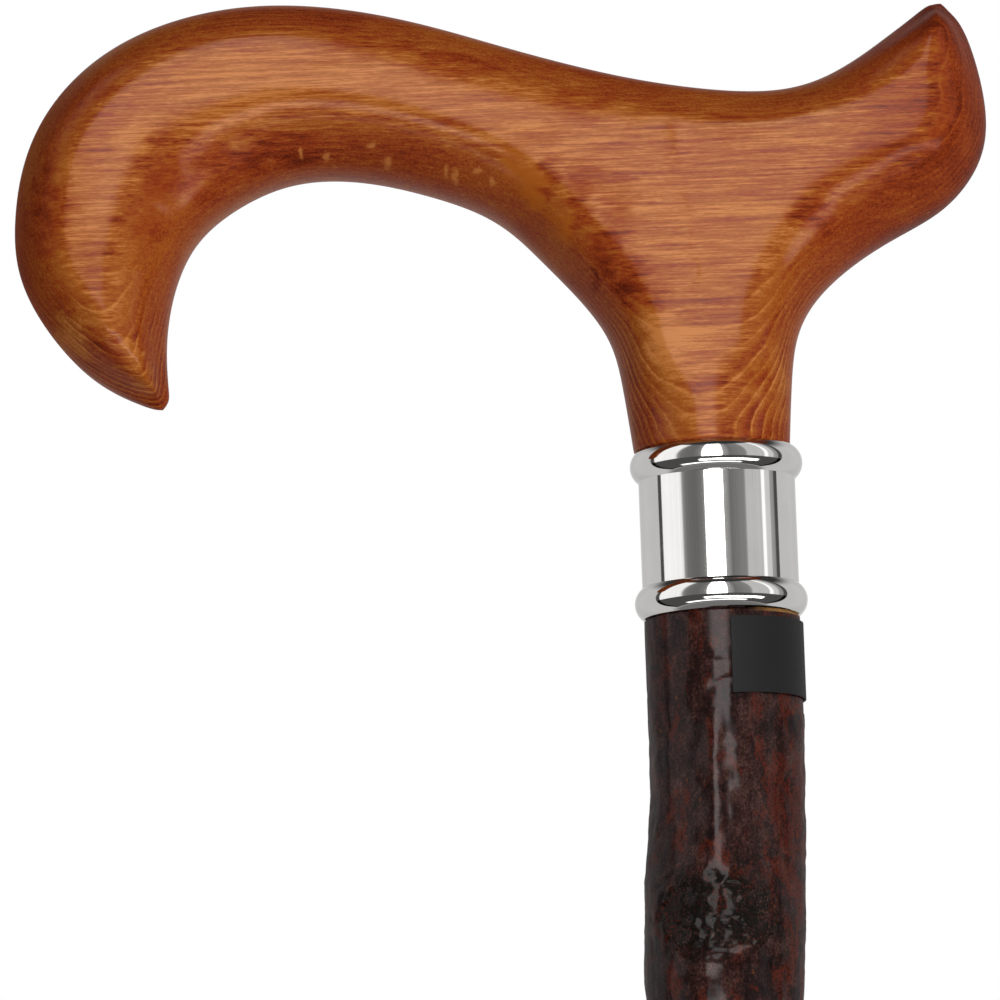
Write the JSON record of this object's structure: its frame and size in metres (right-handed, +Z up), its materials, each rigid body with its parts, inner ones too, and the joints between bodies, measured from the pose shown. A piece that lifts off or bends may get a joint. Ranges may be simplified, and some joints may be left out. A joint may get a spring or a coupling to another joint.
{
  "type": "walking cane",
  "caption": "Walking cane with a carved wooden derby handle, a beaded metal collar, a knotty bark-on stick and a push-on rubber foot.",
  "frame": {"origin": "centre of the rubber foot's flat sole, on the floor", "axes": "+Z up the stick to the handle, -X towards the nose of the handle, Y across the handle"},
  "size_m": [0.1224, 0.042, 0.9148],
  "materials": {
    "handle_wood": "stained and lacquered, semi-gloss",
    "plated_collar": "polished",
    "bark": "dark lacquered bark",
    "steel": "plain zinc-plated",
    "label": "matte",
    "foot_rubber": "matte moulded"
  },
  "bodies": {
    "foot": {"rubber_foot": "foot_rubber", "foot_washer": "steel"},
    "cane": {"handle": "handle_wood", "collar": "plated_collar", "shaft": "bark", "joint_stud": "steel", "label_band": "label"}
  },
  "joints": [
    {"name": "foot_pull_off", "type": "slide", "parent": "foot", "child": "cane", "axis": [0, 0, 1], "range_m": [0, 0.034]}
  ]
}
